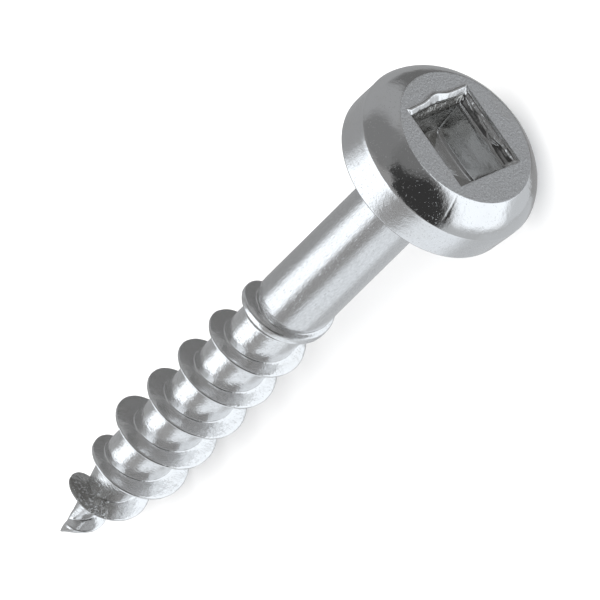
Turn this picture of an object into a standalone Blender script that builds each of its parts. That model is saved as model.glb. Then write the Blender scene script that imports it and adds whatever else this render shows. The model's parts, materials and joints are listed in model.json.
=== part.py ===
"""Pocket hole screw: a pan head with a flat top and a square recess, a plain shank,
and a coarse right-hand wood thread that runs out to a gimlet point.

The screw is modelled upright, point at z = 0 and head up, and then laid on its side
as it comes to rest: on the widest ring of its head and on one crest of its thread.
"""

import math

import bmesh
import bpy
import numpy as np
from mathutils import Matrix

# Sizes in metres. "Along" is always the distance from the point, up the screw's axis.
LENGTH_UNDER_HEAD = 0.0254

HEAD_LOWER_RADIUS = 0.00373
HEAD_CREASE_RADIUS = 0.0038
HEAD_SIDE_HEIGHT = 0.00154
HEAD_DOME_HEIGHT = 0.00112
HEAD_DOME_CURVE = 0.00183
HEAD_FLAT_RADIUS = 0.00288
HEAD_LOWER_ROUND = 0.00014
HEAD_OFF_CENTRE = 0.00009       # how far the die that shapes the dome sits to one side
HEAD_FACETS = 64

RECESS_MOUTH_SIDE = 0.0035
RECESS_THROAT_SIDE = 0.00286
RECESS_FLOOR_SIDE = 0.00268
RECESS_FLARE_DEPTH = 0.00031
RECESS_DEPTH = 0.0019
RECESS_FLOOR_DROP = 0.00025
RECESS_TURN = math.radians(30.7)
CUTTER_OVERSHOOT = 0.0004

SHANK_RADIUS = 0.001425
SHANK_END_ALONG = 0.0158
SHANK_SHOULDER_LENGTH = 0.00032 # of the cone from the root out to the shank
SHANK_SHOULDER_DEPTH = 0.0002
NECK_FILLET = 0.0002

PITCH = 0.002125
CREST_ALONG = 0.001437          # where a crest passes the side at angle 0
CREST_LAND = 0.0001
LAST_LAND = 0.00042             # the crest widens where the die lets go of it
LAST_LAND_FROM = 0.0147
LAST_LAND_TO = 0.0164
FLANK_TO_HEAD = 0.000115        # the steep flank that pulls the boards together
FLANK_TO_POINT = 0.0004         # the longer flank that cuts into the wood
THREAD_FACETS = 60              # a turn

POINT_LENGTH = 0.005            # of the cone that the root makes
ROOT_RADIUS_FRONT = 0.00121
ROOT_RADIUS_REAR = 0.00126
# (along, radius) of the crest: quick to rise on the point, uneven over its first turns as
# rolled, full from there on, and a little lower in the last turn
CREST_STATIONS = (
    (0.0005, 0.0), (0.001, 0.00068), (0.0015, 0.00093), (0.0021, 0.00103), (0.0031, 0.00154),
    (0.0037, 0.00158), (0.0042, 0.00151), (0.0047, 0.00158), (0.0052, 0.00187), (0.0059, 0.00198),
    (0.0083, 0.00189), (0.0138, 0.00181), (0.0162, 0.00165),
)
RUN_OUT_LENGTH = 0.0008         # past the last station, where the crest sinks into the shank
ROOT_INSIDE_SHANK = 0.0006      # how far the threaded part reaches on inside the shank

REST_FACET = 10                 # the facet of the head that lies on the floor
SHARP_ANGLE = math.radians(17)  # edges that turn by more than this stay sharp
MERGE = 1e-6

HEAD_CREASE_ALONG = LENGTH_UNDER_HEAD + HEAD_SIDE_HEIGHT
HEAD_TOP_ALONG = HEAD_CREASE_ALONG + HEAD_DOME_HEIGHT
RUN_OUT_END_ALONG = CREST_STATIONS[-1][0] + RUN_OUT_LENGTH
THREAD_END_ALONG = RUN_OUT_END_ALONG + ROOT_INSIDE_SHANK


def empty_scene():
    """Remove what a new file holds, and make the two collections."""
    for item in list(bpy.data.objects):
        bpy.data.objects.remove(item, do_unlink=True)
    made = []
    for name in ("pocket_hole_screw", "shaping_solids"):
        collection = bpy.data.collections.new(name)
        bpy.context.scene.collection.children.link(collection)
        made.append(collection)
    return made


def new_object(name, mesh, collection):
    item = bpy.data.objects.new(name, mesh)
    collection.objects.link(item)
    return item


def arc(centre, radius, start, end, steps):
    """Points (radius from the axis, along) on an arc, both ends included."""
    angles = np.linspace(start, end, steps + 1)
    return [(centre[0] + radius * math.cos(a), centre[1] + radius * math.sin(a)) for a in angles]


def bulging_arc(upper, lower, radius, steps):
    """Points from the upper to the lower one, on an arc that bulges away from the axis."""
    (r0, z0), (r1, z1) = upper, lower
    half = math.hypot(r1 - r0, z1 - z0) / 2
    inward = math.sqrt(radius**2 - half**2) / (2 * half)
    centre = ((r0 + r1) / 2 + (z1 - z0) * inward, (z0 + z1) / 2 - (r1 - r0) * inward)
    start, end = (math.atan2(z - centre[1], r - centre[0]) for r, z in (upper, lower))
    return arc(centre, radius, start, end, steps)


def turned(name, outline, steps, collection):
    """Turn an outline of (radius, along) pairs, given from top to bottom, round Z."""
    mesh = bpy.data.meshes.new(name)
    edges = [(i, i + 1) for i in range(len(outline) - 1)]
    mesh.from_pydata([(r, 0.0, z) for r, z in outline], edges, [])
    item = new_object(name, mesh, collection)
    spin = item.modifiers.new("turn", "SCREW")
    spin.steps = spin.render_steps = steps
    spin.use_merge_vertices = True
    spin.merge_threshold = MERGE
    return item


def blank_outline():
    """The head and the plain shank, from the centre of the flat top down."""
    neck = (SHANK_RADIUS + NECK_FILLET, LENGTH_UNDER_HEAD - NECK_FILLET)
    lower_edge = (HEAD_LOWER_RADIUS - HEAD_LOWER_ROUND, LENGTH_UNDER_HEAD + HEAD_LOWER_ROUND)
    dome = bulging_arc(
        (HEAD_FLAT_RADIUS, HEAD_TOP_ALONG), (HEAD_CREASE_RADIUS, HEAD_CREASE_ALONG), HEAD_DOME_CURVE, 6
    )
    return [
        (0.0, HEAD_TOP_ALONG),
        *dome,
        *arc(lower_edge, HEAD_LOWER_ROUND, 0.0, -math.pi / 2, 3),
        *arc(neck, NECK_FILLET, math.pi / 2, math.pi, 3),
        (SHANK_RADIUS, SHANK_END_ALONG + SHANK_SHOULDER_LENGTH),
        (SHANK_RADIUS - SHANK_SHOULDER_DEPTH, SHANK_END_ALONG),
        (0.0, SHANK_END_ALONG),
    ]


def recess_outline():
    """Corner distances of the square recess: a flared mouth, tapered walls, a pointed floor."""
    mouth, throat, floor = (
        side / math.sqrt(2) for side in (RECESS_MOUTH_SIDE, RECESS_THROAT_SIDE, RECESS_FLOOR_SIDE)
    )
    above = mouth + (mouth - throat) * CUTTER_OVERSHOOT / RECESS_FLARE_DEPTH
    return [
        (0.0, HEAD_TOP_ALONG + CUTTER_OVERSHOOT),
        (above, HEAD_TOP_ALONG + CUTTER_OVERSHOOT),
        (throat, HEAD_TOP_ALONG - RECESS_FLARE_DEPTH),
        (floor, HEAD_TOP_ALONG - RECESS_DEPTH),
        (0.0, HEAD_TOP_ALONG - RECESS_DEPTH - RECESS_FLOOR_DROP),
    ]


def root_radius(along):
    """A cone from the point, then a body that widens a little towards the shank."""
    stations = (0.0, POINT_LENGTH, SHANK_END_ALONG)
    return np.interp(along, stations, (0.0, ROOT_RADIUS_FRONT, ROOT_RADIUS_REAR))


def crest_radius(along):
    """Through the crest's stations, and then down into the shank."""
    stations, radii = zip(*CREST_STATIONS, (RUN_OUT_END_ALONG, ROOT_RADIUS_REAR))
    return np.interp(along, stations, radii)


def crest_land(along):
    """Width of the flat on top of the crest."""
    return np.interp(along, (LAST_LAND_FROM, LAST_LAND_TO), (CREST_LAND, LAST_LAND))


def across_the_crest(crest):
    """Corners of the section through one crest: heights from it along the axis, and fullness.

    Going up: the foot and the middle of the longer flank, the land, the foot of the steep
    flank, and the middle of the root, which is half-way to the next crest's longer flank.
    """
    below = np.full_like(crest, -CREST_LAND / 2)
    land_end = below + crest_land(crest)
    steep_foot = land_end + FLANK_TO_HEAD
    next_foot = below - FLANK_TO_POINT + PITCH
    from_crest = np.stack([
        below - FLANK_TO_POINT, below - FLANK_TO_POINT / 2, below, land_end, steep_foot,
        (steep_foot + next_foot) / 2,
    ], axis=-1)
    return from_crest, np.array([0.0, 0.5, 1.0, 1.0, 0.0, 0.0])


def threaded_solid(name, collection):
    """Loft the thread and its root as one closed skin.

    Rows follow the helix, columns cross one pitch, and the last column of a turn is
    followed by the first of the next. Heights are held between the point and the end, so
    the rows close by themselves in the point and in a plain ring inside the shank.
    """
    first = math.floor(-(CREST_ALONG / PITCH + 1) * THREAD_FACETS)
    last = math.ceil(((THREAD_END_ALONG - CREST_ALONG) / PITCH + 1) * THREAD_FACETS)
    turn = np.arange(first, last + 1) / THREAD_FACETS
    crest = CREST_ALONG + PITCH * turn
    from_crest, fullness = across_the_crest(crest)
    columns = len(fullness)
    along = np.clip(crest[:, None] + from_crest, 0.0, THREAD_END_ALONG)
    root = root_radius(along)
    radius = root + fullness * np.maximum(crest_radius(crest)[:, None] - root, 0.0)
    angle = 2 * math.pi * (turn % 1.0)[:, None]
    points = np.stack([radius * np.cos(angle), radius * np.sin(angle), along], axis=-1).reshape(-1, 3)

    row, column = np.meshgrid(np.arange(last - first), np.arange(columns), indexing="ij")
    here = row * columns + column
    wraps = column == columns - 1
    above = np.where(wraps, (row + THREAD_FACETS) * columns, here + 1)
    faces = np.stack([here, here + columns, above + columns, above], axis=-1)
    faces = faces[(above + columns) < len(points)]

    mesh = bpy.data.meshes.new(name)
    mesh.from_pydata(points.tolist(), [], faces.tolist())
    shape = bmesh.new()
    shape.from_mesh(mesh)
    bmesh.ops.remove_doubles(shape, verts=shape.verts, dist=MERGE)
    loose = [v for v in shape.verts if not v.link_faces]
    bmesh.ops.delete(shape, geom=loose, context="VERTS")
    bmesh.ops.holes_fill(shape, edges=[e for e in shape.edges if e.is_boundary], sides=0)
    bmesh.ops.recalc_face_normals(shape, faces=shape.faces)
    shape.to_mesh(mesh)
    shape.free()
    return new_object(name, mesh, collection)


def combine(item, other, operation):
    """Join or cut a solid with a helper that stays in the file as a wire shape."""
    step = item.modifiers.new(operation.lower(), "BOOLEAN")
    step.operation = operation
    step.solver = "EXACT"
    step.object = other
    other.hide_render = True
    other.display_type = "WIRE"


def lean_head(item):
    """Push the head's upper part to one side, more and more from its bearing face to the crease."""
    upper = item.vertex_groups.new(name="upper_head")
    for vertex in item.data.vertices:
        rise = (vertex.co.z - LENGTH_UNDER_HEAD) / HEAD_SIDE_HEIGHT
        upper.add([vertex.index], min(max(rise, 0.0), 1.0), "REPLACE")
    push = item.modifiers.new("lean", "DISPLACE")
    push.direction = "X"
    push.mid_level = 0.0
    push.strength = HEAD_OFF_CENTRE
    push.vertex_group = upper.name


def smooth_by_angle(item):
    """Shade the faces smooth, apart from edges that turn by more than the sharp angle."""
    group = bpy.data.node_groups.new("smooth_by_angle", "GeometryNodeTree")
    group.interface.new_socket("Geometry", in_out="INPUT", socket_type="NodeSocketGeometry")
    group.interface.new_socket("Geometry", in_out="OUTPUT", socket_type="NodeSocketGeometry")
    entry = group.nodes.new("NodeGroupInput")
    smooth_faces = group.nodes.new("GeometryNodeSetShadeSmooth")
    edge_angle = group.nodes.new("GeometryNodeInputMeshEdgeAngle")
    is_sharp = group.nodes.new("FunctionNodeCompare")
    is_sharp.operation = "GREATER_THAN"
    is_sharp.inputs["B"].default_value = SHARP_ANGLE
    sharp_edges = group.nodes.new("GeometryNodeSetShadeSmooth")
    sharp_edges.domain = "EDGE"
    sharp_edges.inputs["Shade Smooth"].default_value = False
    leave = group.nodes.new("NodeGroupOutput")
    group.links.new(entry.outputs["Geometry"], smooth_faces.inputs["Geometry"])
    group.links.new(smooth_faces.outputs["Geometry"], sharp_edges.inputs["Geometry"])
    group.links.new(edge_angle.outputs["Unsigned Angle"], is_sharp.inputs["A"])
    group.links.new(is_sharp.outputs["Result"], sharp_edges.inputs["Selection"])
    group.links.new(sharp_edges.outputs["Geometry"], leave.inputs["Geometry"])
    item.modifiers.new("smooth by angle", "NODES").node_group = group


def zinc_plated_steel():
    material = bpy.data.materials.new("zinc_plated_steel")
    material.use_nodes = True
    shader = material.node_tree.nodes["Principled BSDF"]
    shader.inputs["Base Color"].default_value = (0.72, 0.74, 0.76, 1.0)
    shader.inputs["Metallic"].default_value = 1.0
    shader.inputs["Roughness"].default_value = 0.22
    return material


def evaluated_points(item):
    """Corner points of the finished solid in its own upright frame."""
    finished = item.evaluated_get(bpy.context.evaluated_depsgraph_get())
    mesh = finished.to_mesh()
    points = np.empty(len(mesh.vertices) * 3)
    mesh.vertices.foreach_get("co", points)
    finished.to_mesh_clear()
    return points.reshape(-1, 3)


def lay_down(screw, holder):
    """Turn the screw onto its side and set it on the floor, the middle of its box over the origin.

    The floor touches the head where it reaches farthest out, and tips towards the thread
    until the first crest touches too.
    """
    side = 2 * math.pi * (REST_FACET + 0.5) / HEAD_FACETS
    points = evaluated_points(screw)
    outward = points[:, 0] * math.cos(side) + points[:, 1] * math.sin(side)
    along = points[:, 2]
    rim = np.argmax(outward)
    shaft = along < LENGTH_UNDER_HEAD - NECK_FILLET
    tilt = np.arctan2(outward[rim] - outward[shaft], along[rim] - along[shaft]).min()
    turn = Matrix.Rotation(math.pi / 2 - tilt, 3, "Y") @ Matrix.Rotation(-side, 3, "Z")
    placed = points @ np.array(turn).T
    low, high = placed.min(axis=0), placed.max(axis=0)
    holder.rotation_euler = turn.to_euler()
    holder.location = (-(low[0] + high[0]) / 2, -(low[1] + high[1]) / 2, -low[2])
    screw.parent = holder


def build():
    parts, shaping = empty_scene()
    screw = turned("screw", blank_outline(), HEAD_FACETS, parts)
    lean_head(screw)
    thread = threaded_solid("thread_and_point", shaping)
    recess = turned("square_recess", recess_outline(), 4, shaping)
    recess.rotation_euler.z = RECESS_TURN
    combine(screw, thread, "UNION")
    combine(screw, recess, "DIFFERENCE")
    smooth_by_angle(screw)
    screw.data.materials.append(zinc_plated_steel())

    holder = new_object("resting_place", None, parts)
    lay_down(screw, holder)
    for helper in (thread, recess):
        helper.parent = holder


build()
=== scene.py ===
# %% [markdown]
# # Pocket hole screw
# A short wood screw: a flat-topped head with a square recess, a plain shank, and a coarse
# thread that runs out to a gimlet point. It is one piece of steel wire. It could be put
# together from a head, a shank and a thread with Boolean modifiers, but then the joints
# show. So it is made here as one skin that starts in the point, climbs the thread, goes
# round the head and ends in the middle of the recess floor.

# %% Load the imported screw
import json
import math

import bmesh
import bpy
import numpy as np
from mathutils import Matrix


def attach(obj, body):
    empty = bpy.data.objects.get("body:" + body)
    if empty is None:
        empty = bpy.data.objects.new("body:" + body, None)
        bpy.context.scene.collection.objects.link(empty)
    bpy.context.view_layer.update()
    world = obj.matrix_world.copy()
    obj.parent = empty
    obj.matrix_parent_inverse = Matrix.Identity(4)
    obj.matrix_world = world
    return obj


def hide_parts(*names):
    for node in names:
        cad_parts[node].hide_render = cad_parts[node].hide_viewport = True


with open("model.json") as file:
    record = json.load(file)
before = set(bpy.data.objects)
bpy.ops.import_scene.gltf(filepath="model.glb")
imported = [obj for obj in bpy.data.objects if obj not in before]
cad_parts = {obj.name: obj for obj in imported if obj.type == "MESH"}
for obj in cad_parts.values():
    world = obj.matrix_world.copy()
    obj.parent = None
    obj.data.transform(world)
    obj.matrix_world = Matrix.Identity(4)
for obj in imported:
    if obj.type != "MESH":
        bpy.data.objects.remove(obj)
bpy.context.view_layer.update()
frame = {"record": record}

# %% [markdown]
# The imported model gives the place. The skin could be moved and turned as an object, but a
# pattern on a turned object can slide when it is exported, so its points are placed
# instead. The face under the head has a known distance from the screw's axis and from the
# point, and the three directions of the screw follow from it: one along the axis to the
# head, and two across. Every size is in millimetres until a shape is finished, and heights
# on the screw start at its point.

# %% Directions and place of the screw
MM = 0.001
LENGTH_UNDER_HEAD = 25.4
BEARING_MIDDLE = 2.6075         # from the axis to the middle of the face under the head
LYING_SIDE = math.radians(59.0625)   # the side of the screw that faces the floor

under_head = next(m for m in frame["record"]["mounts"] if m["name"] == "under_head")
to_head = -np.array(under_head["axis"])
outward_up = np.array([-to_head[2], 0.0, to_head[0]])
level = np.array([0.0, 1.0, 0.0])
across_x = -math.cos(LYING_SIDE) * outward_up - math.sin(LYING_SIDE) * level
across_y = -math.sin(LYING_SIDE) * outward_up + math.cos(LYING_SIDE) * level
directions = np.array([across_x, across_y, to_head])
point_at = np.array(under_head["pos_m"]) - MM * (
    BEARING_MIDDLE * outward_up + LENGTH_UNDER_HEAD * to_head
)


def placed(points):
    """Points of the upright screw in millimetres, laid down in the row frame in metres."""
    return point_at + MM * np.asarray(points) @ directions


print("point at", point_at.round(5), "axis rises", round(math.degrees(math.asin(to_head[2])), 2))

# %% [markdown]
# Rolled and upset steel has no knife edges: two surfaces meet in a small round. A Bevel
# modifier could round the finished mesh, but these shapes are formulas, so the round is
# part of the formula. Edges and crests also wander a little. A noise texture can't reach a
# mesh in numpy, so a sum of seeded waves does it, and it is the same in every run.

# %% Soft corners and wandering lines


def soft_max(a, b, rounding):
    """The higher of a and b, with a rounded inside corner.

    It is the logarithm of e to the a plus e to the b, both measured in `rounding`.
    """
    return rounding * np.logaddexp(a / rounding, b / rounding)


def soft_min(a, b, rounding):
    """The lower of a and b, with a rounded outside corner: minus the higher of -a and -b."""
    return -soft_max(-a, -b, rounding)


def smooth_step(x):
    """0 below 0, 1 above 1, and 3x^2 - 2x^3 between."""
    x = np.clip(x, 0.0, 1.0)
    return x * x * (3.0 - 2.0 * x)


def bell(x, middle, width):
    """1 in the middle, and e to the power of minus ((x - middle) / width) squared."""
    return np.exp(-(((x - middle) / width) ** 2))


def wander(x, seed, waves=6, slowest=1.0, fastest=6.0):
    """A sum of sines of x with seeded speeds and phases, about -1 to 1."""
    chance = np.random.default_rng(seed)
    speed = np.geomspace(slowest, fastest, waves) * chance.uniform(0.9, 1.1, waves)
    phase = chance.uniform(0.0, 2.0 * math.pi, waves)
    size = speed ** -0.5
    x = np.asarray(x, float)[..., None]
    return (np.sin(x * speed + phase) * size).sum(-1) / (1.4 * np.sqrt((size**2).sum()))


def smooth_through(x, stations, window):
    """Straight lines between (place, value) stations, averaged over a window."""
    place, value = np.array(stations).T
    offsets = np.linspace(-0.5, 0.5, 9) * window
    return np.interp(np.asarray(x)[..., None] + offsets, place, value).mean(-1)


print("a soft corner of 0.1 mm clears the sharp one by", round(float(soft_max(0.0, 0.0, 0.1)), 3), "mm")

# %% [markdown]
# ## The thread
# A wood screw's thread is rolled: the steel is squeezed up between the grooves of two dies
# and never quite fills them evenly. A Screw modifier would make every turn alike, so the
# thread is a formula. The crest's height is read along the helix from a list of stations,
# the root is a cone and then a nearly straight core, and the shape of one ridge is given
# across the helix: a narrow land, a steep flank towards the head that pulls the boards
# together, and a longer flank towards the point that cuts. Along the land runs a fine
# groove, where the steel that came up both flanks didn't quite close.

# %% Sizes of the thread
PITCH = 2.125
CREST_ALONG = 1.437             # where the crest passes angle 0 for the first time
LAND = 0.1
STEEP_FLANK = 0.115
# Stations are pairs of a height on the screw and the value there.
LONG_FLANK_STATIONS = ((0.0, 0.95), (1.3, 0.95), (2.0, 0.4), (20.0, 0.4))   # longest at the point
CREST_STATIONS = (
    (0.0, 0.0), (0.5, 0.02), (0.98, 0.667), (1.51, 0.946), (2.04, 1.003), (2.57, 1.29),
    (3.10, 1.553), (3.63, 1.59), (4.16, 1.509), (4.68, 1.578), (5.21, 1.876), (5.74, 1.969),
    (6.42, 1.977), (7.18, 1.923), (8.31, 1.877), (9.82, 1.884), (11.33, 1.847), (12.85, 1.846),
    (13.79, 1.795), (15.2, 1.73), (16.25, 1.63), (17.05, 1.38), (18.0, 1.2),
)
ROOT_STATIONS = ((0.0, 0.0), (5.0, 1.215), (16.5, 1.262), (25.0, 1.262))
LAND_STATIONS = ((0.0, LAND), (14.7, LAND), (15.8, 0.30), (16.4, 0.42), (20.0, 0.42))
SHANK_RADIUS = 1.425
SHANK_END = 16.12
SHANK_END_SLOPE = 0.6           # how fast the core widens into the shank
THREAD_END = 17.7
CREST_NICKS = 0.008             # how much the rolled crest wanders in height
GROOVE_DEPTH = 0.012
GROOVE_UP = -0.02               # the groove lies just below the middle of the land
GROOVE_WIDTH = 0.022
GROOVE_FROM = 0.2               # a lower ridge has no groove
STEEP_EDGE, LONG_EDGE = 0.085, 0.03   # rounding of the land's two edges, in ridge heights
ROOT_ROUND = 0.03
SHANK_ROUND = 0.006


def thread_radius(up, crest, along, land):
    """Distance from the axis on the side where the crest lies at height `crest`.

    `up` is the height above that crest. The ridge is the lowest of three: its land, a line
    that falls steeply towards the head and a line that falls less steeply towards the
    point. The surface is the highest of ridge, root and shank, each corner rounded.
    """
    root = smooth_through(along, ROOT_STATIONS, window=0.3)
    nicks = CREST_NICKS * wander(crest, 31, waves=8, slowest=9.0, fastest=90.0)
    tall = smooth_through(crest, CREST_STATIONS, window=0.22) + nicks
    full = np.maximum(tall - root, 0.0)
    steep = 1.0 - (up + LAND / 2.0 - land) / STEEP_FLANK
    long = 1.0 + (up + LAND / 2.0) / smooth_through(crest, LONG_FLANK_STATIONS, window=0.3)
    ridge = soft_min(soft_min(1.0, steep, STEEP_EDGE), long, LONG_EDGE) * full
    has_groove = smooth_step((full - GROOVE_FROM) / GROOVE_FROM)
    ridge = ridge - GROOVE_DEPTH * bell(up, GROOVE_UP, GROOVE_WIDTH) * has_groove
    threaded = root + soft_max(0.0, ridge, ROOT_ROUND)
    shank = np.minimum(SHANK_RADIUS, SHANK_RADIUS - (SHANK_END - along) * SHANK_END_SLOPE)
    return soft_max(threaded, shank, SHANK_ROUND)


print("thread:", 2.0 * max(tall for _, tall in CREST_STATIONS), "mm across,", PITCH, "mm a turn")

# %% [markdown]
# A grid whose rows lie level would cross the crest at a slant and show it as a staircase.
# So the rows of this mesh run along the helix, and a crest is one clean line of edges.
# After one turn, a row has climbed one pitch and goes on as the row that many places
# higher. Heights are held between the point and the top of the thread, so all rows close
# by themselves: in one vertex at the point, and in a level ring on the shank. Where the
# land widens, the rows on it spread and the ones above it move up.

# %% The thread and its point as a table of vertices
COLUMNS = 160                   # round the screw
CORNER = math.radians(30.7)     # one corner of the square recess; columns start there
POINT_CLOSES = 0.02             # below this height the radius shrinks to nothing
FIRST_ROW = -1.3
ROWS_FROM_CREST = np.array([
    FIRST_ROW, -1.1, -0.92, -0.76, -0.62, -0.54, -0.48, -0.44, -0.38, -0.3, -0.22, -0.15,
    -0.1, -0.075, -0.05, -0.035, -0.02, -0.005, 0.015, 0.035, 0.05, 0.065, 0.08, 0.1, 0.12,
    0.14, 0.16, 0.18, 0.205, 0.25, 0.32, 0.45, 0.63,
])
ROWS_A_PITCH = len(ROWS_FROM_CREST)


def spread_rows(row, land):
    """Heights over the crest, stretched on a wide land and squeezed over the root above it."""
    on_land = np.clip(row + LAND / 2.0, 0.0, LAND) * (land / LAND - 1.0)
    over_root = row - LAND / 2.0 - STEEP_FLANK
    root_length = PITCH + FIRST_ROW - LAND / 2.0 - STEEP_FLANK
    return row + on_land - np.clip(over_root / root_length, 0.0, 1.0) * (land - LAND)


angles = CORNER + 2.0 * math.pi * np.arange(COLUMNS) / COLUMNS
first_turn = -3                 # its rows are all held in the point
last_turn = math.ceil(THREAD_END / PITCH) + 2
turns = np.repeat(np.arange(first_turn, last_turn), ROWS_A_PITCH)[:, None]
crest = CREST_ALONG + PITCH * (turns + angles / (2.0 * math.pi))
land = smooth_through(crest, LAND_STATIONS, window=0.3)
up = spread_rows(np.tile(ROWS_FROM_CREST, last_turn - first_turn)[:, None], land)
along = np.clip(crest + up, 0.0, THREAD_END)
radius = thread_radius(up, crest, along, land) * smooth_step(along / POINT_CLOSES)
thread_points = np.stack([radius * np.cos(angles), radius * np.sin(angles), along], axis=-1)
print("thread:", thread_points.shape[0], "rows of", COLUMNS)

# %% [markdown]
# A table of vertices becomes a surface by joining each vertex to its next neighbours. A
# loop over vertices is slow in Python, so whole tables of vertex numbers are shifted by one
# and stacked. Rings close on themselves, and the rows of the helix close on the row one
# pitch higher.

# %% Faces from tables of vertex numbers


def table(rows, columns, first):
    """Vertex numbers of a grid whose rows close on themselves."""
    numbers = first + np.arange(rows * columns).reshape(rows, columns)
    return np.concatenate([numbers, numbers[:, :1]], axis=1)


def quads(numbers):
    """The four-sided faces between the neighbours in a table of vertex numbers."""
    return np.stack(
        [numbers[:-1, :-1], numbers[:-1, 1:], numbers[1:, 1:], numbers[1:, :-1]], axis=-1
    ).reshape(-1, 4)


numbers = np.arange(thread_points.shape[0] * COLUMNS).reshape(-1, COLUMNS)
helix_table = np.concatenate(
    [numbers[:-ROWS_A_PITCH], numbers[ROWS_A_PITCH:, :1]], axis=1
)
print("thread:", len(quads(helix_table)), "faces, before the held ones are merged")

# %% [markdown]
# ## The head
# The head is upset from the wire in a die, so it is round, but its upper part sits a
# little to one side. A Spin or Screw modifier turns an outline round one axis only, so the
# outline is turned by a formula that also shifts it. It is a list of straight lines and
# arcs from the shank out along the bearing face, up the side, over the dome and onto the
# flat top.

# %% Sizes of the head, and arcs
HEAD_LOWER_RADIUS = 3.73
HEAD_CREASE_RADIUS = 3.8
HEAD_SIDE_HEIGHT = 1.54
HEAD_DOME_HEIGHT = 1.12
HEAD_DOME_CURVE = 1.83
HEAD_FLAT_RADIUS = 2.88
HEAD_LOWER_ROUND = 0.14
NECK_FILLET = 0.2
CREASE = LENGTH_UNDER_HEAD + HEAD_SIDE_HEIGHT
HEAD_TOP = CREASE + HEAD_DOME_HEIGHT


def arc(centre, radius, start, end, steps, easing=0.0):
    """Points (distance from axis, along) on an arc, angles in degrees.

    With easing, the steps are shorter towards both ends, as half a cosine wave has them.
    """
    t = np.linspace(0.0, 1.0, steps + 1)
    t = (1.0 - easing) * t + easing * (1.0 - np.cos(math.pi * t)) / 2.0
    turn = np.radians(start + (end - start) * t)
    return np.stack([centre[0] + radius * np.cos(turn), centre[1] + radius * np.sin(turn)], -1)


def bulging_arc(lower, upper, radius, steps, easing):
    """Points from the lower to the upper one, on an arc that bulges away from the axis."""
    lower, upper = np.array(lower), np.array(upper)
    half = (upper - lower) / 2.0
    length = np.hypot(*half)
    centre = lower + half - np.array([half[1], -half[0]]) * math.sqrt(radius**2 / length**2 - 1.0)
    start, end = (math.degrees(math.atan2(*(p - centre)[::-1])) for p in (lower, upper))
    return arc(centre, radius, start, end, steps, easing)


print("head:", round(HEAD_TOP - LENGTH_UNDER_HEAD, 2), "mm high and", 2.0 * HEAD_CREASE_RADIUS, "mm across")

# %% [markdown]
# The part of the outline below the crease is joined to the shank by a small fillet, and
# the part above it ends on the flat top. The crease and the flat top's edge are nearly
# sharp on the real head, but not quite: a curve of three steps takes the place of each
# corner, because a corner without any round never catches the light.

# %% Outline of shank and head
EDGE_ROUND = 0.025
SHANK_RINGS = 6


def rounded(outline, corner, rounding, steps=3):
    """Replace one corner of an outline by a curve that starts and ends `rounding` from it."""
    before, here, after = outline[corner - 1], outline[corner], outline[corner + 1]
    start = here + (before - here) * rounding / np.hypot(*(before - here))
    end = here + (after - here) * rounding / np.hypot(*(after - here))
    t = np.linspace(0.0, 1.0, steps + 1)[:, None]
    curve = (1 - t) ** 2 * start + 2 * t * (1 - t) * here + t**2 * end
    return np.concatenate([outline[:corner], curve, outline[corner + 1:]])


shank_heights = np.linspace(THREAD_END + 0.3, LENGTH_UNDER_HEAD - 0.6, SHANK_RINGS)
lower_outline = np.concatenate([
    np.stack([np.full(SHANK_RINGS, SHANK_RADIUS), shank_heights], -1),
    arc((SHANK_RADIUS + NECK_FILLET, LENGTH_UNDER_HEAD - NECK_FILLET), NECK_FILLET, 180, 90, 5),
    [(2.2, LENGTH_UNDER_HEAD), (3.0, LENGTH_UNDER_HEAD), (3.4, LENGTH_UNDER_HEAD)],
    arc((HEAD_LOWER_RADIUS - HEAD_LOWER_ROUND, LENGTH_UNDER_HEAD + HEAD_LOWER_ROUND),
        HEAD_LOWER_ROUND, -90, 0, 6),
    [(3.745, LENGTH_UNDER_HEAD + 0.4), (3.77, LENGTH_UNDER_HEAD + 0.85), (3.785, CREASE - 0.3)],
])
dome_foot, dome_top = (HEAD_CREASE_RADIUS, CREASE), (HEAD_FLAT_RADIUS, HEAD_TOP)
upper_outline = np.concatenate([
    [(3.791, CREASE - 0.17), (3.797, CREASE - 0.06)],
    bulging_arc(dome_foot, dome_top, HEAD_DOME_CURVE, steps=18, easing=0.5),
    [(HEAD_FLAT_RADIUS - 0.05, HEAD_TOP)],
])
upper_outline = rounded(upper_outline, len(upper_outline) - 2, EDGE_ROUND)   # the flat top's edge
upper_outline = rounded(upper_outline, 2, EDGE_ROUND)                        # the crease
print("outline:", len(lower_outline), "points to the side of the head,", len(upper_outline), "over it")

# %% [markdown]
# The upper head gets three times the columns of the rest, because its crease, its flat
# top and the recess have the finest edges. The dome also shows where the halves of the
# heading tool met: one fine groove down the dome, and a fainter one further round. They
# could be cut with thin solids, but a bell curve of the distance round the head does it,
# taken off along the outline's own normal.

# %% The head as two tables of vertices
FINE = 3                        # columns of the upper head to one of the rest
SEAMS = ((296.2, 0.008), (233.2, 0.003))   # place round the head in degrees, depth
SEAM_WIDTH = 0.035
HEAD_OFF_CENTRE = 0.09
fine_angles = CORNER + 2.0 * math.pi * np.arange(COLUMNS * FINE) / (COLUMNS * FINE)


def turned(outline, angles):
    """A grid of points: each outline point carried round the head's own middle line."""
    radius, height = outline[..., 0], outline[..., 1]
    sideways = HEAD_OFF_CENTRE * smooth_step((height - LENGTH_UNDER_HEAD) / HEAD_SIDE_HEIGHT)
    return np.stack([
        sideways + radius * np.cos(angles), radius * np.sin(angles), height + 0.0 * angles,
    ], axis=-1)


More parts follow.
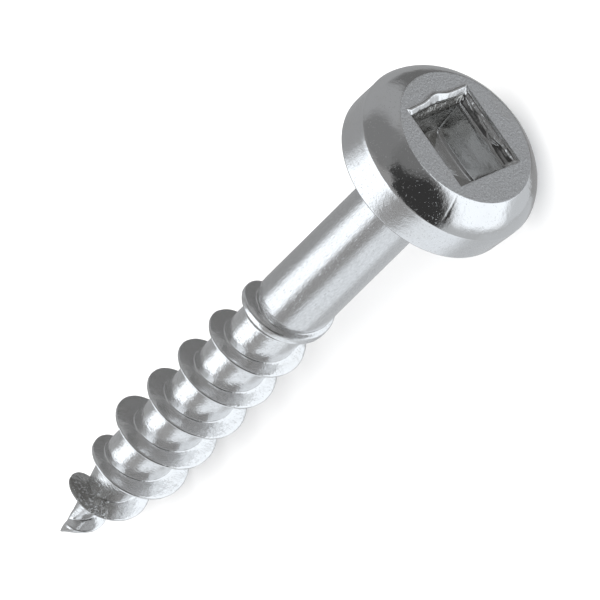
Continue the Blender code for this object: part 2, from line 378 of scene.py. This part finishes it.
along_outline = np.gradient(upper_outline, axis=0)
outline_normal = np.stack([along_outline[:, 1], -along_outline[:, 0]], -1)
outline_normal /= np.hypot(*outline_normal.T)[:, None]
seam_depth = 0.0
for place, depth in SEAMS:
    distance = (fine_angles - math.radians(place) + math.pi) % (2.0 * math.pi) - math.pi
    seam_depth = seam_depth + depth * bell(distance * HEAD_CREASE_RADIUS, 0.0, SEAM_WIDTH)
on_dome = (smooth_step((upper_outline[:, 1] - CREASE - 0.2) / 0.3)
           * smooth_step((upper_outline[:, 0] - HEAD_FLAT_RADIUS) / 0.08))
seam_cut = (on_dome[:, None] * seam_depth)[..., None] * outline_normal[:, None]
lower_points = turned(lower_outline[:, None], angles)
upper_points = turned(upper_outline[:, None] - seam_cut, fine_angles)
print("head:", lower_points.shape[:2], "and", upper_points.shape[:2], "points")

# %% [markdown]
# ## The square recess
# A square punch makes the recess, and it drags steel with it. On this screw one edge is
# rolled over into a bright burr, the next one is torn below its edge, and the two near
# ones are crisp. A Boolean cut would leave four crisp edges. So each ring of vertices goes
# round the square side by side, and every side has its own list of rings. A ring has a
# distance inward from the ideal edge and a height over the flat top, which may change
# along each side.

# %% Places round the square
MOUTH_HALF = 1.75
TORN, BURR = 0, 1               # the far sides; 2 and 3 are the near ones
side_columns = COLUMNS * FINE // 4
on_side = np.linspace(-1.0, 1.0, side_columns + 1)
side_angle = CORNER + math.pi / 4.0 + math.pi / 2.0 * np.arange(4)
outward = np.stack([np.cos(side_angle), np.sin(side_angle)], -1)
from_corner = smooth_step((1.0 - np.abs(on_side)) / 0.08)   # 0 in a corner, soon 1


def square_rings(half, height):
    """Rings round the square from tables of (ring, side, place on the side).

    A point lies `half` out from the middle. Along its side, it goes in even steps from the
    previous side's distance to the next one's, so that the corners meet exactly.
    """
    before = np.roll(half[..., -1], 1, axis=1)[..., None]
    after = np.roll(half[..., 0], -1, axis=1)[..., None]
    share = (on_side + 1.0) / 2.0
    across = share * after - (1.0 - share) * before
    flat = half[..., None] * outward[:, None] + across[..., None] * np.roll(outward, -1, 0)[:, None]
    points = np.concatenate([flat, (HEAD_TOP + height)[..., None]], -1)
    return points[:, :, :-1].reshape(len(points), -1, 3)


print("columns on a side of the recess:", side_columns)

# %% [markdown]
# The near sides go straight down from a crisp edge, and the far ones open out in a flare.
# A Bevel modifier can't make an edge crisp on one side and flared on the next, so each pair
# below is the distance inward and the height of one ring. All rings have one height at the
# corners, and a flare of 45 degrees there on the far sides.

# %% Crisp edges and corners
corner_flare = np.array([
    (-0.15, 0.0), (-0.12, 0.0), (-0.09, 0.0), (-0.06, 0.0), (-0.03, 0.0), (-0.012, 0.0),
    (0.001, -0.004), (0.012, -0.014), (0.03, -0.03), (0.055, -0.055), (0.08, -0.08),
    (0.105, -0.105), (0.13, -0.13), (0.16, -0.16), (0.19, -0.19), (0.225, -0.225),
    (0.27, -0.27), (0.31, -0.315), (0.355, -0.37), (0.372, -0.45),
])
FLAT_RINGS = 6                  # the first rings lie on the flat top
NEAR_STEP = 0.006               # from the ideal edge to the top of a near wall
NEAR_TAPER = 0.23
near_edge = corner_flare.copy()
near_edge[FLAT_RINGS:, 0] = NEAR_STEP - NEAR_TAPER * corner_flare[FLAT_RINGS:, 1]
lip = np.repeat(corner_flare[:, None], 4, axis=1)
lip[:, 2:] = near_edge[:, None]
lip = np.repeat(lip[:, :, None], side_columns + 1, axis=2)
print("lip:", lip.shape[0], "rings")

# %% [markdown]
# The torn edge drops steeply to a rough ledge and then breaks off down to the wall. It
# could be sculpted, but a list of rings and three wandering lines can be changed later. The
# ledge is widest in the middle of the side, and the drop and the break wander along it.

# %% Torn edge
torn = np.array([
    (-0.20, 0.0), (-0.14, 0.0), (-0.09, 0.0), (-0.045, 0.002), (-0.02, 0.006), (-0.004, 0.002),
    (0.006, -0.02), (0.014, -0.06), (0.022, -0.10), (0.034, -0.135), (0.055, -0.15),
    (0.09, -0.156), (0.14, -0.162), (0.19, -0.17), (0.225, -0.185), (0.245, -0.215),
    (0.255, -0.27), (0.275, -0.32), (0.32, -0.37), (0.365, -0.45),
])
DROP, LEDGE, BREAK = 9, 12, 15  # the rings in the middle of each
LEDGE_WIDTH = 0.17
ring = np.arange(len(torn), dtype=float)[:, None]


def on_rings(middle, spread):
    """1 on one ring of the lip, falling off to 0 over `spread` rings on both sides."""
    return smooth_step(1.0 - np.abs(ring - middle) / spread)


ledge_width = 0.35 + 0.65 * (1.0 - on_side**2) + 0.2 * wander(on_side, 41, slowest=4.0, fastest=14.0)
drop_wander = 0.03 * wander(on_side, 42, slowest=4.0, fastest=22.0)
break_wander = 0.03 * wander(on_side, 43, slowest=4.0, fastest=16.0)
rough = 0.003 * wander(on_side, 44, waves=10, slowest=30.0, fastest=90.0)
on_ledge = smooth_step((ring - DROP) / 5.0) * smooth_step((len(torn) - 1 - ring) / 4.0)
torn_shift = np.stack([
    LEDGE_WIDTH * on_ledge * (ledge_width - 1.0) + on_rings(BREAK, 4) * break_wander,
    on_rings(DROP, 3) * drop_wander - on_rings(BREAK, 4) * break_wander + on_rings(LEDGE, 6) * rough,
], axis=-1)
lip[:, TORN] += from_corner[:, None] * (torn[:, None] + torn_shift - lip[:, TORN])
print("torn edge: break wanders", round(float(np.ptp(break_wander)), 3), "mm")

# %% [markdown]
# The burr stands up from the flat top along a crest line, falls inward over the edge and
# tucks under itself. A curve with a round section laid along the edge would look like a
# bead, so the burr is part of the skin. It is widest and highest in the middle of its
# side, where it falls in one even slope. Nearer the corners it is a low roll.

# %% Rolled burr
middle = bell(on_side, 0.0, 0.3)
burr_crest = 0.01 - 0.15 * bell(on_side, 0.03, 0.27)
burr_crest = burr_crest + 0.01 * wander(on_side, 51, waves=8, slowest=5.0, fastest=30.0)
burr_edge = 0.20 - 0.08 * bell(on_side, 0.03, 0.38)
burr_edge = burr_edge + 0.02 * wander(on_side, 52, waves=8, slowest=6.0, fastest=40.0)
across_burr = np.array([0.0, 0.1, 0.22, 0.33, 0.42, 0.5, 0.62, 0.78, 0.92, 1.0])[:, None]
slope = np.array([0.07, 0.064, 0.046, 0.028, 0.012, -0.006, -0.034, -0.072, -0.108, -0.13])[:, None]
roll = np.array([0.025, 0.026, 0.022, 0.014, 0.004, -0.007, -0.024, -0.052, -0.08, -0.10])[:, None]
ripple = 0.004 * wander(on_side * 3.0, 53, waves=8, slowest=3.0, fastest=20.0)
over = slope * middle + roll * (1.0 - middle) + ripple
crest_rise = over[0]
dragged_edge = 0.008 * wander(on_side, 54, waves=12, slowest=12.0, fastest=60.0)
burr_inward = np.concatenate([
    burr_crest + np.array([-0.16, -0.09, -0.06, -0.03])[:, None],   # from the flat to the crest
    burr_crest + across_burr * (burr_edge - burr_crest),            # from the crest to the edge
    burr_edge + np.array([0.0, -0.012, 0.012])[:, None],            # tucked under the edge
    np.array([0.25, 0.30, 0.345])[:, None] + dragged_edge,          # down onto the wall
])
burr_height = np.concatenate([
    crest_rise * np.array([0.0, 0.0, 0.3, 0.75])[:, None],
    over,
    np.array([-0.20, -0.235, -0.29, -0.37, -0.45, -0.53])[:, None] + 0.0 * on_side,
])
burr = np.stack([burr_inward, burr_height], axis=-1)
lip[:, BURR] += from_corner[:, None] * (burr - lip[:, BURR])
print("burr stands", round(float(lip[:, BURR, :, 1].max()), 3), "mm over the flat top")

# %% [markdown]
# Below the lip, the walls taper to the floor. The wall under the torn edge is wavy and its
# foot bulges a little, and the one under the burr is rough where steel was dragged down
# it. Flat walls would mirror one direction each and look like paper, so the waves are in
# the mesh. The floor is slightly hollow, like the end of the punch, with a bevel at its
# edge.

# %% Walls and floor of the recess
FAR_TAPER = 0.109
FOOT_BULGE = 0.1
FLOOR_DEPTH = 1.9
FLOOR_HOLLOW = 0.252            # how much deeper the middle of the floor lies
far_start, far_height = corner_flare[-1]
wall_down = np.array([0.62, 0.72, 0.84, 0.97, 1.1, 1.24, 1.37, 1.5, 1.61, 1.71, 1.79, 1.84, 1.87])
wall_down = wall_down[:, None, None] + 0.0 * lip[0, :, :, 0]
wall_inward = NEAR_STEP + NEAR_TAPER * wall_down
wall_inward[:, :2] = far_start + FAR_TAPER * (wall_down[:, :2] + far_height)
down = wall_down[:, 0]
wall_inward[:, TORN] += from_corner * (
    0.03 * wander(on_side * 1.6 + down * 0.9, 21, fastest=3.5)
    + FOOT_BULGE * (1.0 - on_side**2) * smooth_step((down - 1.0) / 0.9)
)
wall_inward[:, BURR] += from_corner * 0.009 * (
    wander(on_side * 9.0 + down * 6.0, 22, waves=8, fastest=9.0)
    + wander(on_side * 7.0 - down * 9.0, 23, waves=8, fastest=9.0)
)
floor_share = np.array([0.99, 0.965, 0.93, 0.905, 0.88, 0.82, 0.7, 0.55, 0.4, 0.26, 0.13, 0.05])
floor_down = np.array([1.893, 1.915, 1.95, 1.965, 1.975, 1.985, 2.0, 2.03, 2.07, 2.11, 2.135, 2.15])
floor_half = floor_share[:, None, None] * (MOUTH_HALF - wall_inward[-1:])
floor_height = -floor_down[:, None, None] + 0.0 * floor_half
recess_points = square_rings(
    np.concatenate([MOUTH_HALF - lip[..., 0], MOUTH_HALF - wall_inward, floor_half]),
    np.concatenate([lip[..., 1], -wall_down, floor_height]),
)
print("recess:", recess_points.shape[0], "rings of", recess_points.shape[1])

# %% [markdown]
# Between the round edge of the flat top and the square mouth lies the flat ring that a
# driver's nose presses on. It could be one face with a hole, but long thin triangles
# shade badly. So rings change from a circle to the square by a plain mix of the two.

# %% Flat top between circle and square
mix = np.array([0.3, 0.65])[:, None, None]
top_points = (1.0 - mix) * upper_points[-1] + mix * recess_points[0]
print("flat top:", len(top_points), "rings between the circle and the square")

# %% [markdown]
# The finish has to know where on the screw it is. Zones could be painted or given as
# separate materials, but each vertex can keep them as a colour that comes from the same
# tables: how much of it is matt, rolled or punched steel. The first turn of the thread is
# as rough as the recess, so it is both rolled and punched.

# %% Zones of each vertex
MATT, ROLLED, PUNCHED = np.eye(3)
# Each share also sets how much painted shade the wall and its part of the recess floor get.
WALL_SHARES = (0.3, 1.0, 0.5, 0.5)  # how punched each wall looks, in the order of the sides


def zones(points, share_of_zone):
    """The zone colour of every point of a table: a share for each row, or for each point."""
    return np.broadcast_to(share_of_zone, points.shape).reshape(-1, 3)


thread_share = 1.0 - 0.75 * smooth_step((thread_points[..., 2:] - SHANK_END) / 0.4)
rough_start = (smooth_step((crest - 2.15) / 0.35) * smooth_step((3.35 - crest) / 0.2)
               * smooth_step((up + 0.07) / 0.05) * smooth_step((0.35 - up) / 0.15))
on_top = smooth_step((HEAD_FLAT_RADIUS + 0.01 - upper_outline[:, 0]) / 0.03)[:, None, None]
under_burr = slice(BURR * side_columns, (BURR + 1) * side_columns)
flat_share = np.clip(FLAT_RINGS + 0.5 - np.arange(len(recess_points)), 0.0, 1.0)[:, None, None]
flat_share = flat_share * np.ones((1, 4 * side_columns, 1))
flat_share[2:7, under_burr] = 0.0       # the burr is as bright as the dome
below = HEAD_TOP - recess_points[..., 2:] - 0.02
below[:, under_burr] -= 0.1
punched_share = smooth_step(below / 0.1) * np.repeat(WALL_SHARES, side_columns)[:, None]
zone = np.concatenate([
    zones(thread_points, ROLLED * thread_share + PUNCHED * rough_start[..., None]),
    zones(lower_points, ROLLED * 0.25),
    zones(upper_points, MATT * on_top),
    zones(top_points, MATT),
    zones(recess_points, MATT * flat_share + PUNCHED * punched_share),
    [PUNCHED],
])
print("zones:", (zone > 0.5).sum(0), "vertices matt, rolled, punched")

# %% [markdown]
# Two more things are kept. Screws are plated in a turning barrel and shaken together in
# their box, which rubs the shank and the side of the head, so the colour's alpha says how
# much a vertex was rubbed. The wire was drawn along its length before it was a screw. So a
# grain vector, the vertex's place in millimetres, is squeezed along the shank, which
# stretches patterns that way. A Mapping node would squeeze them on the whole screw alike.

# %% Rubbed steel and grain
RUBBED_HEAD = 0.6               # the side of the head, with the shank as 1
SQUEEZE = 0.65
all_points = np.concatenate([
    thread_points.reshape(-1, 3), lower_points.reshape(-1, 3), upper_points.reshape(-1, 3),
    top_points.reshape(-1, 3), recess_points.reshape(-1, 3),
    [(0.0, 0.0, HEAD_TOP - FLOOR_DEPTH - FLOOR_HOLLOW)],
])
height = all_points[:, 2:]
on_shank = smooth_step((height - SHANK_END) / 0.3) * smooth_step((LENGTH_UNDER_HEAD - 0.1 - height) / 0.2)
on_head_side = smooth_step((height - LENGTH_UNDER_HEAD) / 0.2) * smooth_step((CREASE - height) / 0.1)
rubbed = RUBBED_HEAD * on_head_side + on_shank
grain = all_points * np.concatenate([np.ones((len(height), 2)), 1.0 - SQUEEZE * on_shank], axis=1)
print("rubbed:", int((rubbed > 0.5).sum()), "vertices of", len(rubbed))

# %% [markdown]
# ## One skin
# A real screw has no seams between its parts. Separate meshes could be joined afterwards,
# but here the tables already meet, so they become one list of faces. Six-sided faces join
# the coarse columns of the head's side to the fine ones above, and a last vertex closes
# the recess floor.

# %% One list of faces
sizes = [thread_points, lower_points, upper_points, top_points, recess_points]
starts = np.cumsum([0] + [len(p) * p.shape[1] for p in sizes])
lower_table = table(len(lower_points), COLUMNS, starts[1])
fine_rings = len(upper_points) + len(top_points) + len(recess_points)
upper_table = table(fine_rings, len(fine_angles), starts[2])
top_ring = np.append(numbers[-1], numbers[-1, 0])
coarse, fine = lower_table[-1], upper_table[0]
widening = np.stack([
    coarse[:-1], coarse[1:], fine[3::FINE], fine[2::FINE], fine[1::FINE], fine[:-1:FINE],
], axis=-1)
last = upper_table[-1]
closing = np.stack([last[:-1], last[1:], np.full(len(fine_angles), starts[5])], axis=-1)
faces = [
    *quads(helix_table).tolist(), *quads(np.stack([top_ring, lower_table[0]])).tolist(),
    *quads(lower_table).tolist(), *widening.tolist(), *quads(upper_table).tolist(),
    *closing.tolist(),
]
print("skin:", len(faces), "faces, before the held ones are merged")

# %% [markdown]
# The points are laid down and become a mesh with its two attributes. Rows that were held
# in one place lie on each other there, and such a skin looks closed but isn't. A Weld
# modifier could merge them, but bmesh also tells whether it worked: vertices that meet are
# merged, faces that lost their area go, and the count of open edges has to be 0.

# %% The skin as a mesh
MEETS = 1.5e-7                  # vertices nearer than this are one, in metres
skin = bpy.data.meshes.new("screw_skin")
skin.from_pydata(placed(all_points).tolist(), [], faces)
for name, kind, part, values in (
    ("finish", "FLOAT_COLOR", "color", np.concatenate([zone, rubbed], 1)),
    ("grain", "FLOAT_VECTOR", "vector", grain),
):
    skin.attributes.new(name, kind, "POINT").data.foreach_set(part, values.astype("f").ravel())

shape = bmesh.new()
shape.from_mesh(skin)
bmesh.ops.remove_doubles(shape, verts=shape.verts, dist=MEETS)
bmesh.ops.dissolve_degenerate(shape, edges=shape.edges, dist=1e-8)
bmesh.ops.delete(shape, geom=[v for v in shape.verts if not v.link_faces], context="VERTS")
open_edges = sum(not e.is_manifold for e in shape.edges)
volume = shape.calc_volume(signed=True)
shape.to_mesh(skin)
shape.free()
skin.shade_smooth()
screw = bpy.data.objects.new("screw_skin", skin)
bpy.context.scene.collection.objects.link(screw)
skin.calc_loop_triangles()
print("skin:", len(skin.loop_triangles), "triangles,", open_edges, "open edges, volume mm3",
      round(volume / MM**3, 2))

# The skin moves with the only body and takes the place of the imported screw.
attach(screw, "root")
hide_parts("screw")

# %% [markdown]
# ## Zinc plate
# Bright zinc copies the steel under it: smooth on the dome, scuffed along the shank, matt
# on the flat top that the heading tool pressed, and rough where the thread was rolled and
# the recess was punched. Four materials would meet in hard lines. So one material reads
# the zones, and they fade into each other as plating does. These helpers keep the node
# tree readable: each one makes a node, sets it and returns its output.

# %% Helpers for shader nodes


def maths(tree, operation, *values):
    """A Math node; each value is a number or another node's output."""
    node = tree.nodes.new("ShaderNodeMath")
    node.operation = operation
    for socket, value in zip(node.inputs, values):
        if isinstance(value, (int, float)):
            socket.default_value = value
        else:
            tree.links.new(value, socket)
    return node.outputs[0]


def weighted_sum(tree, start, *pairs):
    """start plus each value times its weight."""
    total = start
    for value, weight in pairs:
        total = maths(tree, "MULTIPLY_ADD", value, weight, total)
    return total


zinc = bpy.data.materials.new("zinc_plate")
zinc.use_nodes = True
plate = zinc.node_tree
shader = plate.nodes["Principled BSDF"]
print("zinc plate starts with", [n.name for n in plate.nodes])

# %% [markdown]
# The material reads what each vertex keeps, and noise on the grain vector breaks it up.
# Noise on the screw's own place in the scene would do as well, but only the grain vector
# is stretched along the shank, and it is in millimetres.

# %% What the plate reads


def kept(name, socket):
    """What each vertex keeps under this name."""
    node = plate.nodes.new("ShaderNodeAttribute")
    node.attribute_name = name
    return node.outputs[socket]


def clouds(scale, detail):
    """Noise of this many waves to the millimetre, about 0.2 to 0.8."""
    node = plate.nodes.new("ShaderNodeTexNoise")
    plate.links.new(grain_here, node.inputs["Vector"])
    node.inputs["Scale"].default_value = scale
    node.inputs["Detail"].default_value = detail
    return node.outputs[0]


grain_here = kept("grain", "Vector")
rubbed_here = kept("finish", "Alpha")
zone_split = plate.nodes.new("ShaderNodeSeparateColor")
plate.links.new(kept("finish", "Color"), zone_split.inputs[0])
matt, rolled, punched = zone_split.outputs
print("plate reads", [a.name for a in skin.attributes if a.name in ("finish", "grain")])

# %% [markdown]
# Roughness blurs what the metal mirrors. A single value would make the screw look cast in
# one piece of chrome, so it is a sum: a nearly polished plate, a share for each zone and
# for rubbed steel, and soft scuffs over all. A little of the thread's plate is dull oxide,
# which isn't metallic.

# %% Roughness of the plate
roughness = weighted_sum(
    plate, 0.06, (matt, 0.42), (rolled, 0.01), (punched, 0.03), (rubbed_here, 0.09),
    (clouds(1.4, 4.0), 0.10),
)
plate.links.new(roughness, shader.inputs["Roughness"])
plate.links.new(weighted_sum(plate, 1.0, (rolled, -0.04)), shader.inputs["Metallic"])
print("roughness:", len(plate.nodes), "nodes so far")

# %% [markdown]
# Waves from heading and rolling, fine marks and tiny specks are far finer than the mesh.
# Displacement would need millions of faces for them, and a bump only tilts the
# reflections, which is all that the eye can tell. Heights are in thousandths of a
# millimetre. The strongest marks are where steel was dragged: on the wall under the burr,
# and on the first turn, which also has flakes.

# %% Bump of the plate


def times(tree, first, *others):
    """All values multiplied."""
    for value in others:
        first = maths(tree, "MULTIPLY", first, value)
    return first


def between(tree, value, low, high):
    """0 at low and beyond, 1 at high and beyond, soft between. Low may be the larger."""
    node = tree.nodes.new("ShaderNodeMapRange")
    node.interpolation_type = "SMOOTHSTEP"
    tree.links.new(value, node.inputs["Value"])
    node.inputs["From Min"].default_value = low
    node.inputs["From Max"].default_value = high
    return node.outputs["Result"]


dragged = between(plate, punched, 0.65, 1.0)
wave_height = weighted_sum(
    plate, 16.0, (matt, -10.0), (rolled, 6.0), (dragged, 45.0), (rubbed_here, -10.0)
)
mark_height = weighted_sum(
    plate, 2.5, (matt, 20.0), (rolled, 5.0), (dragged, 16.0), (rubbed_here, 2.5)
)
waves = times(plate, clouds(2.2, 3.0), wave_height)
marks = times(plate, clouds(11.0, 4.0), mark_height)
specks = between(plate, clouds(15.0, 2.0), 0.66, 0.72)
flakes = times(plate, rolled, dragged, between(plate, clouds(8.0, 4.0), 0.5, 0.58))
bump = plate.nodes.new("ShaderNodeBump")
bump.inputs["Distance"].default_value = 1e-6
plate.links.new(
    weighted_sum(plate, marks, (waves, 1.0), (specks, -3.0), (flakes, 60.0)), bump.inputs["Height"]
)
plate.links.new(bump.outputs["Normal"], shader.inputs["Normal"])
print("bump:", len(plate.nodes), "nodes so far")

# %% [markdown]
# New zinc is a pale grey with hardly any colour, and it wears warmer and darker. A texture
# could be painted, but the zones and some noise already say where it changes. Four shades
# are laid over the bright one in turn: worn patches, speckles on the matt and rubbed
# parts, a painted shade on the recess walls and floor with a dull first turn of the thread,
# and dirt in the thread.

# %% Colour of the plate
BRIGHT_ZINC = (0.74, 0.742, 0.745, 1.0)
WORN_ZINC = (0.64, 0.625, 0.60, 1.0)
SPECKLED_ZINC = (0.53, 0.53, 0.535, 1.0)
DIRT_AND_SHADE_ZINC = (0.41, 0.405, 0.39, 1.0)     # painted shade on the recess walls and floor, and dirt in the thread
DIRT = 0.16                     # the dull shade's share where the thread is dirtiest


def laid_over(tree, share, under, over):
    """`under` where the share is 0 and `over` where it is 1; each a colour or an output."""
    node = tree.nodes.new("ShaderNodeMix")
    node.data_type = "RGBA"
    for socket, value in (("Factor", share), ("A", under), ("B", over)):
        if isinstance(value, tuple):
            node.inputs[socket].default_value = value
        else:
            tree.links.new(value, node.inputs[socket])
    return node.outputs["Result"]


worn_most = weighted_sum(plate, 0.25, (matt, 0.35))
worn = times(plate, between(plate, clouds(0.9, 4.0), 0.5, 0.75), worn_most)
speckled = weighted_sum(plate, matt, (rubbed_here, 0.4))
speckled = times(plate, speckled, between(plate, clouds(17.0, 2.0), 0.2, 0.75))
# Painted shade: punched steel gets a darker colour, which darkens the recess walls and floor; on the first
# turn of the thread it is dull plate, broken by flakes.
recess_shade_and_dull_turn = times(plate, punched, weighted_sum(plate, 1.0, (flakes, -1.0)))
dirty = times(plate, between(plate, clouds(4.5, 4.0), 0.45, 0.72), DIRT, rolled)
colour = BRIGHT_ZINC
for share, shade in (
    (worn, WORN_ZINC), (speckled, SPECKLED_ZINC), (recess_shade_and_dull_turn, DIRT_AND_SHADE_ZINC), (dirty, DIRT_AND_SHADE_ZINC),
):
    colour = laid_over(plate, share, colour, shade)
plate.links.new(colour, shader.inputs["Base Color"])
skin.materials.append(zinc)
print("zinc plate:", len(plate.nodes), "nodes")

# %% [markdown]
# ## Floor
# A plain pale floor, far larger than the screw, so that its edge is never seen. A curved
# backdrop would do too, but this camera looks down and meets no horizon. The floor takes
# the soft contact shadow, and it is left out of the reflections in the metal, because
# under a light tent the table is covered by the tent's own white cloth.

# %% Floor
FLOOR_HALF = 2.0
floor_mesh = bpy.data.meshes.new("floor")
floor_corners = [(x * FLOOR_HALF, y * FLOOR_HALF, 0.0) for x, y in ((-1, -1), (1, -1), (1, 1), (-1, 1))]
floor_mesh.from_pydata(floor_corners, [], [(0, 1, 2, 3)])
floor = bpy.data.objects.new("floor", floor_mesh)
bpy.context.scene.collection.objects.link(floor)
floor.visible_glossy = False
pale = bpy.data.materials.new("pale_floor")
pale.use_nodes = True
pale_shader = pale.node_tree.nodes["Principled BSDF"]
pale_shader.inputs["Base Color"].default_value = (0.93, 0.93, 0.93, 1.0)
pale_shader.inputs["Roughness"].default_value = 1.0
pale_shader.inputs["Specular IOR Level"].default_value = 0.0
floor_mesh.materials.append(pale)
print("floor:", 2.0 * FLOOR_HALF, "m square at height 0")

# %% [markdown]
# ## Camera
# The camera looks down on the lying screw from the side of its head, at the photograph's
# angle to the screw's axis, from nearly a metre away through a long lens. A Track To
# constraint could aim it, but it is also rolled about its line of sight, so that the head
# points up and to the right. So its three directions are worked out from the screw's own.

# %% Camera
VIEW_OFF_AXIS = math.radians(48.813)
PICTURE_TURN = 0.00783
CAMERA_DISTANCE = 840.15
LENS = 1334.2
MIDDLE_ALONG_VIEW = 12.546      # the picture's middle from the point, up the screw's image
MIDDLE_ACROSS_VIEW = 0.081

to_camera = math.cos(VIEW_OFF_AXIS) * directions[2] - math.sin(VIEW_OFF_AXIS) * directions[1]
image_head = math.sin(VIEW_OFF_AXIS) * directions[2] + math.cos(VIEW_OFF_AXIS) * directions[1]
image_side = directions[0]
turned_head = math.cos(PICTURE_TURN) * image_head - math.sin(PICTURE_TURN) * image_side
turned_side = math.sin(PICTURE_TURN) * image_head + math.cos(PICTURE_TURN) * image_side
right = (turned_head + turned_side) / math.sqrt(2.0)
above = (turned_head - turned_side) / math.sqrt(2.0)

camera = bpy.data.objects.new("camera", bpy.data.cameras.new("camera"))
bpy.context.scene.collection.objects.link(camera)
bpy.context.scene.camera = camera
camera.data.lens = LENS
camera.data.clip_start, camera.data.clip_end = 0.01, 10.0
eye = point_at + MM * (
    MIDDLE_ALONG_VIEW * image_head + MIDDLE_ACROSS_VIEW * image_side + CAMERA_DISTANCE * to_camera
)
turn = np.eye(4)
turn[:3, :3] = np.stack([right, above, to_camera], axis=-1)
turn[:3, 3] = eye
camera.matrix_world = Matrix(turn.tolist())
print("camera at", eye.round(4), "elevation", round(math.degrees(math.asin(to_camera[2])), 1))

# %% [markdown]
# ## Light
# Polished metal shows what is round it, so the studio matters as much as the finish. Such
# a screw is photographed in a tent of white cloth with a few bright and dark panels. Area
# lights could stand for them, but on metal they show as hard squares. So the world is the
# tent: a grey cloth, with soft panels given by compass direction and height in degrees.
# What isn't a mirror, such as the floor, gets plain white light from all sides.

# %% Helpers for the tent
world = bpy.data.worlds.new("light_tent")
bpy.context.scene.world = world
world.use_nodes = True
world.cycles.sampling_method = "NONE"
tent = world.node_tree
tent.nodes.clear()
COOL = 0.1                      # how much more blue than red a bright panel has

look = tent.nodes.new("ShaderNodeTexCoord").outputs["Generated"]
split = tent.nodes.new("ShaderNodeSeparateXYZ")
tent.links.new(look, split.inputs[0])
compass = maths(tent, "DEGREES", maths(tent, "ARCTAN2", split.outputs["Y"], split.outputs["X"]))
rise = maths(tent, "DEGREES", maths(tent, "ARCSINE", split.outputs["Z"]))


def band(value, half, soft):
    """1 where value is nearer to 0 than half, with an edge `soft` degrees wide."""
    return between(tent, maths(tent, "ABSOLUTE", value), half + soft / 2.0, half - soft / 2.0)


def panel(under, compass_range, rise_range, brightness, soft):
    """Lay a panel of one brightness over what is there, between two directions and heights."""
    (west, east), (bottom, top) = compass_range, rise_range
    sideways = maths(tent, "SUBTRACT", compass, (west + east) / 2.0)
    sideways = maths(tent, "WRAP", sideways, 180.0, -180.0)
    upwards = maths(tent, "SUBTRACT", rise, (bottom + top) / 2.0)
    share = times(
        tent, band(sideways, (east - west) / 2.0, soft), band(upwards, (top - bottom) / 2.0, soft)
    )
    cool = 1.0 + COOL * smooth_step(brightness)
    shade = (brightness, brightness * (1.0 + cool) / 2.0, brightness * cool, 1.0)
    return laid_over(tent, share, under, shade)


def draped(cloth, panels):
    """Cloth of one brightness with panels laid over it."""
    seen = (cloth, cloth, cloth, 1.0)
    for one_panel in panels:
        seen = panel(seen, *one_panel)
    return seen


print("tent: compass direction and height from", len(tent.nodes), "nodes")

# %% [markdown]
# Each panel is a range of compass directions, a range of heights, a brightness and the
# width of its soft edge. What the metal mirrors at once comes from the whole tent. A ray
# that has left the metal twice comes out of the recess or from between two turns, where
# in a real studio it meets what stands close by. A world is always far away and could give
# both rays only one picture, so the second kind gets its own panels.

# %% Light tent
CLOTH = 0.36
PANELS = (
    ((95.0, 150.0), (-60.0, 30.0), 0.38, 20.0),
    ((8.0, 118.0), (15.0, 88.0), 0.24, 20.0),
    ((35.0, 112.0), (-25.0, 24.0), 0.40, 18.0),
    ((48.0, 92.0), (-75.0, -12.0), 0.18, 12.0),
    ((-12.0, 24.0), (-28.0, 62.0), 0.20, 14.0),
    ((-200.0, -85.0), (-95.0, -22.0), 0.60, 25.0),
    ((-118.0, -84.0), (-30.0, 22.0), 0.55, 14.0),
    ((-112.0, -10.0), (11.0, 80.0), 0.045, 16.0),
    ((-30.0, 8.0), (52.0, 84.0), 0.055, 14.0),
    ((-82.0, 8.0), (-58.0, 4.0), 1.26, 20.0),
    ((-84.0, 30.0), (-98.0, -52.0), 0.67, 16.0),
    ((-163.0, -124.0), (-28.0, 18.0), 1.00, 18.0),
    ((144.0, 194.0), (14.0, 62.0), 1.50, 17.0),
)
DEEP_CLOTH = 0.33
DEEP_PANELS = (
    ((55.0, 130.0), (-90.0, 45.0), 0.22, 20.0),
    ((-130.0, -80.0), (-40.0, 55.0), 0.55, 16.0),
    ((-80.0, 30.0), (-95.0, 0.0), 1.15, 14.0),
    ((-135.0, -80.0), (-95.0, -42.0), 1.40, 12.0),
    ((-180.0, 180.0), (67.0, 100.0), 1.35, 10.0),
    ((28.0, 125.0), (60.0, 84.0), 0.70, 16.0),
)
DAYLIGHT = (1.7, 1.7, 1.7, 1.0)
ONCE = 1.5                      # a first reflection counts 1, and the next one 2
ray = tent.nodes.new("ShaderNodeLightPath")
deep = maths(tent, "GREATER_THAN", ray.outputs["Glossy Depth"], ONCE)
in_metal = laid_over(tent, deep, draped(CLOTH, PANELS), draped(DEEP_CLOTH, DEEP_PANELS))
background = tent.nodes.new("ShaderNodeBackground")
tent.links.new(
    laid_over(tent, ray.outputs["Is Glossy Ray"], DAYLIGHT, in_metal), background.inputs["Color"]
)
tent.links.new(background.outputs[0], tent.nodes.new("ShaderNodeOutputWorld").inputs["Surface"])
bpy.context.scene.view_settings.view_transform = "Standard"
print("light tent:", len(PANELS), "panels, and", len(DEEP_PANELS), "for later reflections")
